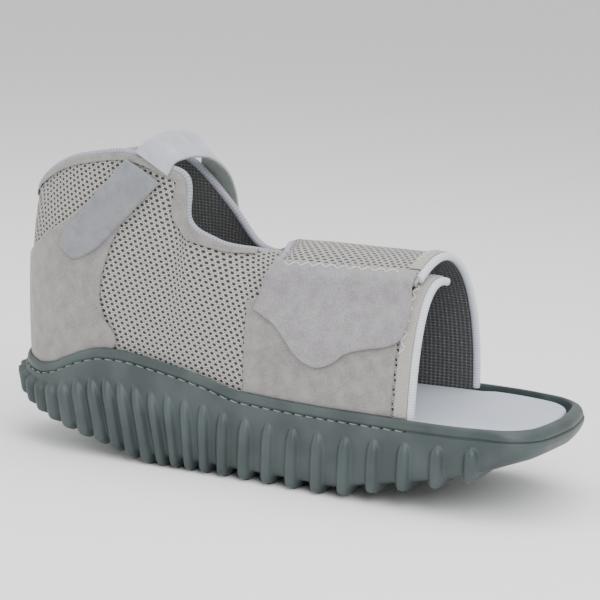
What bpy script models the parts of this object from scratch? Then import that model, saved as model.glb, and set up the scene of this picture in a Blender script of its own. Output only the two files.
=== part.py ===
"""Post-operative shoe: a thick ribbed rocker sole, a soft open-toe upper that wraps over the instep, and an
ankle strap. Metres, +Z up, +X towards the toe; -Y is the side on which the flap and the strap fasten."""

import math

import bmesh
import bpy
import numpy as np

MM = 0.001

# Sole
OUTLINE_LENGTH = 281 * MM
BALL_WIDTH = 100 * MM
TRAY_FLOOR = 35 * MM
RIM_TOP = 42 * MM
QUARTER_RISE = 12 * MM
BAND_HEIGHT = 5.5 * MM
BAND_SET_IN = 1 * MM
RIM_WIDTH = 4.2 * MM
LIP_FLARE = 0.9 * MM
TOE_SPRING = 24 * MM
NOSE = 4 * MM
RIB_PROUD = 3.5 * MM
RIB_DEPTH = 4.2 * MM
RIB_WIDTH = 6.8 * MM
RIB_CREST = 3.5 * MM
HEEL_PITCH = 7.8 * MM
TOE_PITCH = 15.7 * MM
PITCH_STEP = 0.58 * MM
RIB_LEAN = math.radians(14)
HEEL_BEND = 40 * MM
TOE_BEND = 60 * MM
CORNER = 2.4 * MM
LIP_EASE = 0.8 * MM

# Upper
GAP = 0.3 * MM
INSOLE_THICKNESS = 4.4 * MM
UPPER_WALL = 2.4 * MM
UPPER_RISE = 113 * MM
PANEL_THICKNESS = 0.9 * MM
BINDING_THICKNESS = 0.7 * MM
TAB_THICKNESS = 1.5 * MM
STRAP_THICKNESS = 2 * MM

BALL_HALF = BALL_WIDTH / 2
HEEL_X = -(OUTLINE_LENGTH + NOSE - RIB_PROUD) / 2
UPPER_BASE = TRAY_FLOOR + GAP
UPPER_INSET = RIM_WIDTH + 2 * GAP
CURVED_GAP = 2 * GAP
TAB_LIFT = CURVED_GAP + PANEL_THICKNESS + GAP
# What the front tab climbs over at its upper edge: the flap's wall and its binding, with a fold's clearance
FLAP_CLIMB = UPPER_WALL + BINDING_THICKNESS + 7 * GAP

# How finely the forms are divided
FIRST_RIBS = 12
LAST_RIB = 0.82
TOE_COLUMNS = 8
UPPER_COLUMNS = 75
UPPER_ROWS = 10
INSOLE_COLUMNS = 32
STRAP_STEPS = 32
STRAP_ROWS = 4
WELD = 0.01 * MM
NEARBY = 0.2 * MM
NEARBY_SHARE = 0.002
LEVEL = 0.001

SHOE = "post_operative_shoe"
SOLE_GREY = (0.035, 0.055, 0.058)
FOOTBED_GREY = (0.45, 0.47, 0.53)
MESH_GREY = (0.36, 0.35, 0.33)
PLAIN_GREY = (0.20, 0.20, 0.20)
EDGE_GREY = (0.27, 0.27, 0.27)
TAB_GREY = (0.24, 0.23, 0.24)
DARK_GREY = (0.18, 0.19, 0.21)
STRAP_GREY = (0.36, 0.37, 0.41)

# The sole's outline from above, heel to toe: share of its length, share of the ball's half width
OUTLINE = (
    (0.000, 0.000), (0.007, 0.248), (0.027, 0.470), (0.063, 0.648), (0.120, 0.784), (0.242, 0.820),
    (0.402, 0.840), (0.544, 0.880), (0.687, 0.960), (0.811, 1.000), (0.900, 0.950), (0.956, 0.830),
    (0.983, 0.640), (0.994, 0.380), (0.998, 0.180), (1.000, 0.000),
)
# Height of the rim's top: share of the length, share of the rise at the quarter
RIM_HEIGHTS = (
    (0.00, 0.13), (0.07, -0.08), (0.105, 0.08), (0.135, 0.40), (0.17, 0.75), (0.205, 0.97), (0.24, 1.00),
    (0.31, 0.82), (0.40, 0.45), (0.48, 0.03), (0.60, -0.05), (0.80, 0.00), (1.00, 0.00),
)
# Height of the ribs' undersides: share of the length, share of the toe's spring
TREAD_HEIGHTS = (
    (0.00, 1.16), (0.04, 0.90), (0.07, 0.76), (0.13, 0.53), (0.18, 0.36), (0.235, 0.20), (0.27, 0.09),
    (0.30, 0.00), (0.65, 0.00), (0.68, 0.06), (0.73, 0.20), (0.79, 0.36), (0.85, 0.52), (0.90, 0.68),
    (0.955, 0.84), (1.00, 0.95),
)

# Columns of the upper from the near front edge round the heel to the far front edge. Each is a curve with four
# handles: its foot inside the rim, a handle above the foot, a handle below the top edge, and the top edge.
# along: share of the length. across: share of the ball's half width. up: share of the upper's rise.
COLUMNS = (
    # side, foot along, foot rise, foot out, (handle along, across, up), (edge along, across, up)
    (-1, 0.786, 0.35, 0.3, (0.782, -0.70, 0.652), (0.779, 0.00, 0.573)),
    (-1, 0.651, 0.33, 0.6, (0.644, -0.72, 0.617), (0.644, -0.06, 0.604)),
    (-1, 0.537, 0.31, 0.6, (0.523, -0.70, 0.600), (0.516, -0.20, 0.624)),
    (-1, 0.466, 0.29, 0.6, (0.452, -0.68, 0.555), (0.463, -0.36, 0.633)),
    (-1, 0.402, 0.27, 0.6, (0.391, -0.68, 0.510), (0.399, -0.54, 0.661)),
    (-1, 0.356, 0.27, 0.6, (0.349, -0.66, 0.528), (0.350, -0.60, 0.741)),
    (-1, 0.320, 0.27, 0.6, (0.324, -0.64, 0.608), (0.340, -0.57, 0.909)),
    (-1, 0.281, 0.27, 0.6, (0.281, -0.64, 0.643), (0.295, -0.565, 0.957)),
    (-1, 0.217, 0.27, 0.6, (0.217, -0.64, 0.679), (0.228, -0.54, 0.997)),
    (-1, 0.142, 0.27, 1.1, (0.139, -0.64, 0.661), (0.153, -0.53, 0.973)),
    (-1, 0.075, 0.26, 1.6, (0.065, -0.56, 0.617), (0.096, -0.49, 0.927)),
    (-1, 0.032, 0.25, 2.2, (0.018, -0.38, 0.573), (0.043, -0.36, 0.838)),
    (0, 0.000, 0.24, 2.6, (-0.006, 0.00, 0.555), (0.009, 0.00, 0.758)),
    (1, 0.032, 0.25, 2.2, (0.018, 0.38, 0.573), (0.043, 0.36, 0.832)),
    (1, 0.075, 0.26, 1.6, (0.065, 0.56, 0.617), (0.096, 0.49, 0.915)),
    (1, 0.142, 0.27, 1.1, (0.139, 0.64, 0.661), (0.153, 0.53, 0.955)),
    (1, 0.217, 0.27, 0.6, (0.217, 0.64, 0.665), (0.217, 0.54, 0.962)),
    (1, 0.274, 0.27, 0.6, (0.274, 0.64, 0.620), (0.270, 0.55, 0.900)),
    (1, 0.324, 0.27, 0.6, (0.317, 0.66, 0.560), (0.334, 0.55, 0.750)),
    (1, 0.374, 0.28, 0.6, (0.366, 0.68, 0.500), (0.391, 0.50, 0.608)),
    (1, 0.424, 0.30, 0.6, (0.416, 0.67, 0.510), (0.441, 0.32, 0.586)),
    (1, 0.459, 0.34, 0.6, (0.464, 0.64, 0.590), (0.477, 0.06, 0.612)),
    (1, 0.487, 0.40, 0.6, (0.496, 0.54, 0.700), (0.502, -0.12, 0.661)),
    (1, 0.512, 0.45, 0.8, (0.512, 0.47, 0.770), (0.516, -0.40, 0.639)),
    (1, 0.545, 0.48, 0.5, (0.535, 0.44, 0.820), (0.521, -0.57, 0.600)),
    (1, 0.651, 0.50, 0.0, (0.644, 0.44, 0.830), (0.644, -0.56, 0.592)),
    (1, 0.786, 0.50, 0.0, (0.762, 0.44, 0.830), (0.762, -0.54, 0.592)),
)

# Cloth laid on the upper: two edges, each a place round the foot and a share of the way up. A row for each fold.
COUNTER = (
    # low edge place, up, high edge place, up
    (-0.298, 0.925, -0.243, 0.945), (-0.251, 0.703, -0.215, 0.860), (-0.233, 0.556, -0.185, 0.775),
    (-0.227, 0.420, -0.160, 0.730), (-0.237, 0.317, -0.138, 0.705), (-0.258, 0.205, -0.118, 0.680),
    (-0.205, 0.000, -0.095, 0.655), (-0.150, 0.000, -0.070, 0.630), (-0.100, 0.000, -0.045, 0.605),
    (-0.050, 0.000, -0.022, 0.590), (0.000, 0.000, 0.000, 0.580), (0.050, 0.000, 0.022, 0.590),
    (0.100, 0.000, 0.045, 0.605), (0.150, 0.000, 0.070, 0.630), (0.205, 0.000, 0.095, 0.655),
    (0.258, 0.205, 0.118, 0.680), (0.237, 0.317, 0.138, 0.705), (0.227, 0.420, 0.160, 0.730),
    (0.233, 0.556, 0.185, 0.775),
    (0.251, 0.703, 0.215, 0.860), (0.285, 0.925, 0.243, 0.945),
)
COLLAR_EDGE = (
    (-0.455, 0.930, -0.455, 0.995), (-0.423, 0.934, -0.428, 0.995), (-0.396, 0.927, -0.405, 0.995),
    (-0.372, 0.903, -0.385, 0.995), (-0.341, 0.800, -0.367, 0.995), (-0.328, 0.790, -0.359, 0.995),
    (-0.321, 0.820, -0.353, 0.995), (-0.320, 0.900, -0.344, 0.995), (-0.318, 0.955, -0.332, 0.995),
    (-0.290, 0.962, -0.295, 0.995), (-0.190, 0.962, -0.190, 0.995), (-0.135, 0.960, -0.135, 0.995),
    (-0.085, 0.955, -0.085, 0.995),
    (-0.040, 0.952, -0.040, 0.995), (0.000, 0.950, 0.000, 0.995), (0.040, 0.952, 0.040, 0.995),
    (0.085, 0.955, 0.085, 0.995), (0.135, 0.960, 0.135, 0.995), (0.190, 0.962, 0.190, 0.995),
    (0.290, 0.955, 0.290, 0.995), (0.370, 0.950, 0.375, 0.995), (0.420, 0.950, 0.425, 0.995),
    (0.445, 0.955, 0.448, 0.995),
)
NEAR_FACING = (
    (-0.700, 0.000, -0.7195, 0.000), (-0.700, 0.500, -0.7195, 0.500), (-0.700, 0.985, -0.7195, 0.985),
)
LOOP_PANEL = (
    (-0.464, 0.000, -0.464, 0.560), (-0.530, 0.000, -0.530, 0.580), (-0.696, 0.000, -0.696, 0.560),
)
FLAP_FACING = (
    (0.7195, 0.000, 0.698, 0.000), (0.7195, 0.500, 0.698, 0.500), (0.7195, 0.945, 0.698, 0.945),
)
FRONT_TAB = (
    (-0.477, 0.500, -0.504, 0.765), (-0.493, 0.460, -0.515, 0.765), (-0.512, 0.410, -0.528, 0.765),
    (-0.529, 0.340, -0.543, 0.765), (-0.545, 0.275, -0.558, 0.765), (-0.563, 0.235, -0.573, 0.765),
    (-0.583, 0.225, -0.590, 0.765), (-0.605, 0.255, -0.606, 0.765), (-0.622, 0.300, -0.622, 0.765),
    (-0.650, 0.330, -0.648, 0.765), (-0.675, 0.345, -0.672, 0.765), (-0.692, 0.365, -0.686, 0.765),
    (-0.703, 0.400, -0.696, 0.765), (-0.709, 0.480, -0.704, 0.765),
)
TAB_CLIMB = (0.56, 0.69)
STRAP_TAB = (
    (-0.170, 0.572, -0.152, 0.612), (-0.184, 0.556, -0.155, 0.650), (-0.205, 0.575, -0.166, 0.690),
    (-0.228, 0.625, -0.185, 0.745), (-0.268, 0.765, -0.218, 0.860), (-0.303, 0.925, -0.246, 0.970),
)
# The ankle strap's two edges from the strap tab over the instep to the far quarter
STRAP = (
    # front edge (along, across, up), rear edge (along, across, up)
    (0.309, -0.632, 0.925, 0.243, -0.600, 1.010),
    (0.316, -0.560, 0.978, 0.256, -0.500, 1.062),
    (0.317, -0.300, 0.990, 0.264, -0.280, 1.085),
    (0.316, -0.020, 0.985, 0.272, 0.000, 1.086),
    (0.318, 0.260, 0.962, 0.280, 0.280, 1.062),
    (0.326, 0.500, 0.905, 0.274, 0.520, 1.000),
    (0.332, 0.640, 0.820, 0.262, 0.660, 0.905),
    (0.336, 0.705, 0.700, 0.255, 0.720, 0.760),
    (0.336, 0.735, 0.560, 0.254, 0.752, 0.610),
)


def steps(rows, at, rounded=True):
    """Values at the given places on a smooth line through rows of (place, value, ...).

    Without rounded the line never swings past its rows."""
    rows = np.array(rows, float)
    place, value = rows[:, 0], rows[:, 1:]
    rise = np.diff(value, axis=0) / np.diff(place)[:, None]
    if rounded:
        slope = np.gradient(value, place, axis=0)
    else:
        slope = np.zeros_like(value)
        same = rise[:-1] * rise[1:] > 0
        mean = 2 * rise[:-1] * rise[1:] / np.where(same, rise[:-1] + rise[1:], 1)
        slope[1:-1] = np.where(same, mean, 0)
        slope[0], slope[-1] = rise[0], rise[-1]
    at = np.clip(np.asarray(at, float), place[0], place[-1])
    k = np.clip(np.searchsorted(place, at, side="right") - 1, 0, len(place) - 2)
    width = (place[k + 1] - place[k])[..., None]
    t = (at - place[k])[..., None] / width
    start = (1 + 2 * t) * (1 - t) ** 2 * value[k] + t * (1 - t) ** 2 * width * slope[k]
    end = t**2 * (3 - 2 * t) * value[k + 1] + t**2 * (t - 1) * width * slope[k + 1]
    return start + end


def ease(value, low, high):
    t = np.clip((np.asarray(value, float) - low) / (high - low), 0, 1)
    return t * t * (3 - 2 * t)


def along(share):
    return HEEL_X + share * OUTLINE_LENGTH


def share_of(x):
    return (x - HEEL_X) / OUTLINE_LENGTH


OUTLINE_KNOTS = np.array([(along(a), w * BALL_HALF) for a, w in OUTLINE])
OUTLINE_RUN = np.concatenate([[0], np.cumsum(np.hypot(*np.diff(OUTLINE_KNOTS, axis=0).T))])
HALF_RUN = OUTLINE_RUN[-1]


def half_outline(run, inset=0.0):
    """A point of the outline's half with y over 0, run metres from the heel's end, and moved in by inset."""
    rows = np.column_stack([OUTLINE_RUN, OUTLINE_KNOTS])
    mirrored = rows[1:3] * (-1, 1, -1)
    ahead = rows[-3:-1] * (-1, 1, -1) + (2 * HALF_RUN, 0, 0)
    rows = np.vstack([mirrored[::-1], rows, ahead[::-1]])
    run = np.asarray(run, float)
    point = steps(rows, run)
    tangent = steps(rows, run + NEARBY) - steps(rows, run - NEARBY)
    tangent /= np.linalg.norm(tangent, axis=-1, keepdims=True)
    outward = np.stack([-tangent[..., 1], tangent[..., 0]], axis=-1)
    return point - outward * np.asarray(inset, float)[..., None]


def rim_height(x):
    return RIM_TOP + QUARTER_RISE * steps(RIM_HEIGHTS, share_of(x), rounded=False)[..., 0]


def tread_height(x):
    height = TOE_SPRING * steps(TREAD_HEIGHTS, share_of(x), rounded=False)[..., 0]
    return np.where(height < LEVEL * TOE_SPRING, 0, height)


def rib_columns():
    """(run, rib) for each column of the sole's wall, from the heel's end to the toe's: rib is 1 on a crest."""
    columns = [(0.0, 0.0)]
    centre, pitch, count = HEEL_PITCH / 2, HEEL_PITCH, 0
    while centre < LAST_RIB * HALF_RUN:
        for side, width, height in ((-1, RIB_WIDTH, 0), (-1, RIB_CREST, 1), (1, RIB_CREST, 1), (1, RIB_WIDTH, 0)):
            columns.append((centre + side * width / 2, height))
        count += 1
        if count >= FIRST_RIBS:
            pitch = min(pitch + PITCH_STEP, TOE_PITCH)
        centre += pitch
    start = columns[-1][0]
    for step in range(1, TOE_COLUMNS + 1):
        columns.append((start + (HALF_RUN - start) * step / TOE_COLUMNS, 0.0))
    return np.array(columns)


# Rows of the sole's wall from the tread up. Heights are shares of the wall under the band. An inset is a share
# of CORNER, and one under 0 at the toe is a share of NOSE. The last two say how far a rib stands out and down.
WALL_ROWS = (
    # side height, side inset, toe height, toe inset, rib out, rib down
    (0.00, 1.9, 0.00, 6.0, 0.4, 1.0),
    (0.06, 0.5, 0.14, 1.4, 1.0, 0.8),
    (0.30, 0.0, 0.36, -0.4, 1.0, 0.0),
    (0.66, 0.0, 0.62, -0.8, 1.0, 0.0),
    (0.84, 0.0, 0.84, -1.0, 0.0, 0.0),
    (0.99, 0.0, 0.99, -1.0, 0.0, 0.0),
)


def new_object(name, mesh, colour, roughness):
    """An object of the shoe, with its own material."""
    material = bpy.data.materials.new(name)
    material.use_nodes = True
    shader = material.node_tree.nodes["Principled BSDF"]
    shader.inputs["Base Color"].default_value = (*colour, 1)
    shader.inputs["Roughness"].default_value = roughness
    shader.inputs["Metallic"].default_value = 0
    mesh.materials.append(material)
    piece = bpy.data.objects.new(name, mesh)
    bpy.data.collections[SHOE].objects.link(piece)
    mesh.shade_smooth()
    mesh.set_sharp_from_angle(angle=math.radians(40))
    return piece


def grid_mesh(name, points, merge=0.0):
    """A mesh of quads through a grid of points, of shape (columns, rows, 3)."""
    columns, rows, _ = points.shape
    made = bmesh.new()
    corners = [[made.verts.new(p) for p in column] for column in points]
    for a, b in zip(corners, corners[1:]):
        for j in range(rows - 1):
            made.faces.new((a[j], a[j + 1], b[j + 1], b[j]))
    if merge:
        bmesh.ops.remove_doubles(made, verts=made.verts, dist=merge)
    mesh = bpy.data.meshes.new(name)
    made.to_mesh(mesh)
    made.free()
    return mesh


def build_outsole():
    """Half of the sole as an open skin that ends on the middle plane, and a Mirror."""
    run, rib = rib_columns().T
    x = half_outline(run)[:, 0]
    toe = ease(share_of(x), 0.90, 0.985)
    top = rim_height(x)
    band = top - BAND_HEIGHT
    tread = tread_height(x) + RIB_DEPTH
    lean = math.tan(RIB_LEAN) * ease(run, 0, HEEL_BEND) * (1 - ease(share_of(x), 0.25, 0.48))
    lean = lean * ease(HALF_RUN - run, 0, TOE_BEND)
    rows = []
    for side_height, side_inset, toe_height, toe_inset, out, down in WALL_ROWS:
        height = side_height * (1 - toe) + toe_height * toe
        corner = np.where(toe_inset > 0, CORNER, NOSE)
        inset = side_inset * CORNER * (1 - toe) + toe_inset * corner * toe - out * RIB_PROUD * rib
        shift = lean * (1 - height) * (band - tread)
        flat = half_outline(np.clip(run + shift, 0, HALF_RUN), inset)
        ground = tread_height(flat[:, 0]) + RIB_DEPTH
        rows.append(np.column_stack([flat, ground - RIB_DEPTH * down * rib + height * (band - ground)]))
    set_in = BAND_SET_IN * (1 - toe)
    for inset, z in (
        (set_in - NOSE * toe, band + LIP_EASE),
        (set_in - NOSE / 2 * toe, top - LIP_EASE),
        (RIM_WIDTH - LIP_FLARE + 0 * x, top),
        (RIM_WIDTH + 0 * x, TRAY_FLOOR + 0 * x),
    ):
        rows.append(np.column_stack([half_outline(run, inset), z]))
    for row in rows:
        row[0, 1] = 0
        row[-1, 1] = 0
    spine_low = rows[0] * (1, 0, 1)
    spine_high = rows[-1] * (1, 0, 1)
    points = np.stack([spine_low, *rows, spine_high], axis=1)
    mesh = grid_mesh("outsole", points, merge=WELD)
    sole = new_object("outsole", mesh, SOLE_GREY, 0.55)
    halves = sole.modifiers.new("halves", "MIRROR")
    halves.use_axis = (False, True, False)
    halves.merge_threshold = WELD


def foot_run(share):
    """How far round from the heel's end the upper's foot passes this share of the length."""
    run = np.linspace(0, HALF_RUN, 400)
    return np.interp(along(share), half_outline(run, UPPER_INSET)[:, 0], run)


def column_handles():
    """Rows of (place round the foot, then the four handles of a column)."""
    rows = []
    for side, foot, rise, out, handle, edge in COLUMNS:
        run = foot_run(foot) if side else 0.0
        base = half_outline(run, UPPER_INSET)
        pushed = half_outline(run, UPPER_INSET - out * MM)
        turn = side if side else 1
        spots = [(*base, UPPER_BASE), (*pushed, UPPER_BASE + rise * UPPER_RISE)]
        spots = [(x, turn * y, z) for x, y, z in spots]
        spots += [(along(a), b * BALL_HALF, UPPER_BASE + up * UPPER_RISE) for a, b, up in (handle, edge)]
        rows.append((side * run / HALF_RUN, *np.ravel(spots)))
    return rows


def upper_skin(place, up):
    """Points of the upper's outer face. place runs round the foot, up from the foot (0) to the top edge (1)."""
    place, up = np.broadcast_arrays(np.asarray(place, float), np.asarray(up, float))
    handles = steps(HANDLES, place).reshape(*place.shape, 4, 3)
    t = up[..., None]
    weights = ((1 - t) ** 3, 3 * t * (1 - t) ** 2, 3 * t**2 * (1 - t), t**3)
    return sum(weight * handles[..., k, :] for k, weight in enumerate(weights))


def skin_normal(place, up):
    """Outward directions of the upper's outer face."""
    place, up = np.broadcast_arrays(np.asarray(place, float), np.asarray(up, float))
    back, ahead = (np.clip(place + by, NEAR_FRONT, FAR_FRONT) for by in (-NEARBY_SHARE, NEARBY_SHARE))
    low, high = (np.clip(up + by, 0, 1) for by in (-NEARBY_SHARE, NEARBY_SHARE))
    round_foot = upper_skin(ahead, up) - upper_skin(back, up)
    upward = upper_skin(place, high) - upper_skin(place, low)
    normal = np.cross(upward, round_foot)
    return normal / np.linalg.norm(normal, axis=-1, keepdims=True)


HANDLES = column_handles()
NEAR_FRONT, FAR_FRONT = HANDLES[0][0], HANDLES[-1][0]


def thicken(piece, wall):
    """Gives a sheet its wall, inwards from its outer face."""
    shell = piece.modifiers.new("wall", "SOLIDIFY")
    shell.thickness = wall
    shell.offset = -1
    shell.use_even_offset = True


def build_upper():
    """One sheet from the near front edge round the heel to the far front edge and over the instep."""
    place = np.linspace(NEAR_FRONT, FAR_FRONT, UPPER_COLUMNS)
    up = np.linspace(0, 1, UPPER_ROWS)
    points = upper_skin(place[:, None], up[None, :])
    upper = new_object("upper", grid_mesh("upper", points), MESH_GREY, 0.9)
    thicken(upper, UPPER_WALL)


def build_insole():
    """A flat footbed inside the tray: its edge clears the upper's wall, and the rim ahead of the upper."""
    run = np.linspace(0, HALF_RUN, INSOLE_COLUMNS)
    front_edge = COLUMNS[0][1]
    bare = ease(share_of(half_outline(run)[:, 0]), front_edge + 0.014, front_edge + 0.044)
    behind = UPPER_INSET + UPPER_WALL + 3 * GAP
    half = half_outline(run, behind + (RIM_WIDTH + GAP - behind) * bare)
    half[0, 1] = half[-1, 1] = 0
    made = bmesh.new()
    ring = [made.verts.new((x, y, UPPER_BASE + INSOLE_THICKNESS)) for x, y in half]
    ring += [made.verts.new((x, -y, UPPER_BASE + INSOLE_THICKNESS)) for x, y in half[-2:0:-1]]
    made.faces.new(ring[::-1])
    mesh = bpy.data.meshes.new("insole")
    made.to_mesh(mesh)
    made.free()
    insole = new_object("insole", mesh, FOOTBED_GREY, 0.7)
    thicken(insole, INSOLE_THICKNESS)


def rim_clear(place):
    """How far up the skin the sole's rim reaches, with a small clearance."""
    up = np.linspace(0, 0.5, 60)
    skin = upper_skin(np.asarray(place, float)[..., None], up)
    above = skin[..., 2] - rim_height(skin[..., 0]) > CURVED_GAP
    return up[np.argmax(above, axis=-1)]


def laid_cloth(rows, lift, along_steps, across_steps):
    """Grid of points over the upper between the two edges of rows, lift above its outer face."""
    rows = np.array(rows, float)
    spot = np.linspace(0, len(rows) - 1, (len(rows) - 1) * along_steps + 1)
    low_place, low_up, high_place, high_up = (np.interp(spot, np.arange(len(rows)), r) for r in rows.T)
    low_up = np.maximum(low_up, rim_clear(low_place))
    high_up = np.maximum(high_up, rim_clear(high_place))
    t = np.linspace(0, 1, across_steps + 1)
    place = low_place[:, None] * (1 - t) + high_place[:, None] * t
    up = low_up[:, None] * (1 - t) + high_up[:, None] * t
    raised = lift(up) if callable(lift) else lift
    return upper_skin(place, up) + skin_normal(place, up) * np.broadcast_to(raised, up.shape)[..., None]


def build_cloth(name, rows, lift, wall, colour, along_steps=3, across_steps=4):
    """A cloth piece of the given wall whose inner face lies lift above the upper."""
    outer = (lambda up: lift(up) + wall) if callable(lift) else lift + wall
    points = laid_cloth(rows, outer, along_steps, across_steps)
    if rows[0][0] > rows[-1][0]:
        points = points[::-1]
    thicken(new_object(name, grid_mesh(name, points), colour, 0.95), wall)


def tab_lift(up):
    """The front tab lies on the loop panel, and climbs over the end of the flap."""
    return TAB_LIFT + FLAP_CLIMB * ease(up, *TAB_CLIMB)


def build_strap():
    """A band between two smooth edges, with its thickness inwards."""
    table = np.array(STRAP)
    at = np.arange(len(table))
    fine = np.linspace(0, len(table) - 1, STRAP_STEPS + 1)
    front, rear = (steps(np.column_stack([at, table[:, k:k + 3]]), fine) for k in (0, 3))
    t = np.linspace(0, 1, STRAP_ROWS)[None, :, None]
    shares = front[:, None] * (1 - t) + rear[:, None] * t
    points = np.empty_like(shares)
    points[..., 0] = along(shares[..., 0])
    points[..., 1] = shares[..., 1] * BALL_HALF
    points[..., 2] = UPPER_BASE + shares[..., 2] * UPPER_RISE
    strap = new_object("ankle_strap", grid_mesh("ankle_strap", points), STRAP_GREY, 0.8)
    thicken(strap, STRAP_THICKNESS)


def build_overlays():
    """The cloth pieces that lie on the upper, from the lowest layer to the highest."""
    panel, edge, tab = PANEL_THICKNESS, BINDING_THICKNESS, TAB_THICKNESS
    build_cloth("heel_counter", COUNTER, CURVED_GAP, panel, PLAIN_GREY, along_steps=2)
    build_cloth("loop_panel", LOOP_PANEL, GAP, panel, PLAIN_GREY, along_steps=5)
    build_cloth("collar_binding", COLLAR_EDGE, CURVED_GAP, edge, EDGE_GREY, along_steps=2, across_steps=2)
    build_cloth("near_facing", NEAR_FACING, GAP, edge, EDGE_GREY, along_steps=7, across_steps=2)
    build_cloth("flap_facing", FLAP_FACING, GAP, edge, EDGE_GREY, along_steps=10, across_steps=2)
    build_cloth("front_tab", FRONT_TAB, tab_lift, tab, TAB_GREY, along_steps=2, across_steps=7)
    build_cloth("strap_tab", STRAP_TAB, TAB_LIFT, tab, DARK_GREY, along_steps=3, across_steps=3)


def main():
    for old in list(bpy.data.objects):
        bpy.data.objects.remove(old)
    bpy.context.scene.collection.children.link(bpy.data.collections.new(SHOE))
    build_outsole()
    build_insole()
    build_upper()
    build_overlays()
    build_strap()


main()
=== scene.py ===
"""Looks of the post-operative shoe: rubber sole, knitted upper, brushed closures, straps and stitching.

Metres, +Z up, +X towards the toe; -Y is the side on which the flap and the strap fasten."""

import math

import bpy
import numpy as np
from mathutils import Matrix, Vector


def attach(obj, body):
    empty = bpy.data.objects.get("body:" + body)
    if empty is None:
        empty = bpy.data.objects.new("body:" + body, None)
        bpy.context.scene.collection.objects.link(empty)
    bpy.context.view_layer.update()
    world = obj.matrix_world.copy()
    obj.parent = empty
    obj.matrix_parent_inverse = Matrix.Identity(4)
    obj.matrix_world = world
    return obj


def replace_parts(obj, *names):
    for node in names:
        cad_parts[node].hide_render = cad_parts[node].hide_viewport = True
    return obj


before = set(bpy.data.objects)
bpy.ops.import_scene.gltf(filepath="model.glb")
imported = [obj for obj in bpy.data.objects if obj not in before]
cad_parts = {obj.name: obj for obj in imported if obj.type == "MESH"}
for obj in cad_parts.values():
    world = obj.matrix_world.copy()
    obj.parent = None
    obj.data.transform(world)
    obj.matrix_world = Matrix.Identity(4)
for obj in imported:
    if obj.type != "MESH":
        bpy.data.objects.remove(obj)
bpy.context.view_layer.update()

MM = 0.001

# Sizes that the sole and the upper share with the model they dress
OUTLINE_LENGTH = 281 * MM
BALL_HALF = 50 * MM
TRAY_FLOOR = 35 * MM
RIM_TOP = 42 * MM
QUARTER_RISE = 12 * MM
BAND_HEIGHT = 5.5 * MM
RIM_WIDTH = 4.2 * MM
TOE_SPRING = 24 * MM
NOSE = 4 * MM
RIB_PROUD = 3.5 * MM
RIB_DEPTH = 4.2 * MM
RIB_WIDTH = 6.8 * MM
HEEL_PITCH = 7.8 * MM
TOE_PITCH = 15.7 * MM
PITCH_STEP = 0.58 * MM
RIB_LEAN = math.radians(14)
HEEL_BEND = 40 * MM
TOE_BEND = 60 * MM
CORNER = 2.4 * MM
GAP = 0.3 * MM
INSOLE_THICKNESS = 4.4 * MM
UPPER_WALL = 2.4 * MM
UPPER_RISE = 113 * MM
PANEL_THICKNESS = 0.9 * MM
BINDING_THICKNESS = 0.7 * MM
TAB_THICKNESS = 1.5 * MM
STRAP_THICKNESS = 2 * MM
HEEL_X = -(OUTLINE_LENGTH + NOSE - RIB_PROUD) / 2
UPPER_BASE = TRAY_FLOOR + GAP
UPPER_INSET = RIM_WIDTH + 2 * GAP
CURVED_GAP = 2 * GAP
TAB_LIFT = CURVED_GAP + PANEL_THICKNESS + GAP
FLAP_CLIMB = UPPER_WALL + BINDING_THICKNESS + 7 * GAP
FIRST_RIBS = 12
LAST_RIB = 0.82
NEARBY = 0.2 * MM
NEARBY_SHARE = 0.002
WELD = 0.01 * MM

# Shares of the sole's length over which the toe cap, the leaning ribs and the soft ribs begin or end
TOE_CAP = (0.90, 0.985)
LEANING_RIBS = (0.25, 0.48)
SOFT_RIBS = (0.28, 0.45)
# Where the footbed widens to the rim, as shares of the length past the upper's front edge
WIDENING = (0.014, 0.044)
FOOTBED_ROUNDING = 1.6 * MM
MESH_TILT = math.radians(14)
# The stitched step under the rim's band: its line, how far it runs, and its dashes
WELT_INSET = 1.05 * MM
WELT_RISE = 0.25 * MM
WELT_END = 0.797
WELT_PITCH_MM = 5.8
WELT_DASH_MM = 4.3
THREAD_SIDES = 6
# Rolled edgings: width, thickness and reach past the edge, in mm
FRONT_ROLL = (3.6, 3.7, 0.5)
COLLAR_ROLL = (3.4, 3.5, 0.2)
FLAP_ROLL = (2.6, 3.0, 0.1)
# Places round the foot where the collar's edging starts and ends
NEAR_THROAT = -0.47
FAR_THROAT = 0.515
# The photograph's camera
SENSOR_MM = 36
FOCAL_PIXELS = 2357.5
PICTURE_PIXELS = 600

# The sole's outline from above, heel to toe: share of its length, share of the ball's half width
OUTLINE = (
    (0.000, 0.000), (0.007, 0.248), (0.027, 0.470), (0.063, 0.648), (0.120, 0.784), (0.242, 0.820),
    (0.402, 0.840), (0.544, 0.880), (0.687, 0.960), (0.811, 1.000), (0.900, 0.950), (0.956, 0.830),
    (0.983, 0.640), (0.994, 0.380), (0.998, 0.180), (1.000, 0.000),
)
# Height of the rim's top: share of the length, share of the rise at the quarter
RIM_HEIGHTS = (
    (0.00, 0.13), (0.07, -0.08), (0.105, 0.08), (0.135, 0.40), (0.17, 0.75), (0.205, 0.97), (0.24, 1.00),
    (0.31, 0.82), (0.40, 0.45), (0.48, 0.03), (0.60, -0.05), (0.80, 0.00), (1.00, 0.00),
)
# Height of the ribs' undersides: share of the length, share of the toe's spring
TREAD_HEIGHTS = (
    (0.00, 1.16), (0.04, 0.90), (0.07, 0.76), (0.13, 0.53), (0.18, 0.36), (0.235, 0.20), (0.27, 0.09),
    (0.30, 0.00), (0.65, 0.00), (0.68, 0.06), (0.73, 0.20), (0.79, 0.36), (0.85, 0.52), (0.90, 0.68),
    (0.955, 0.84), (1.00, 0.95),
)
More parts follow.
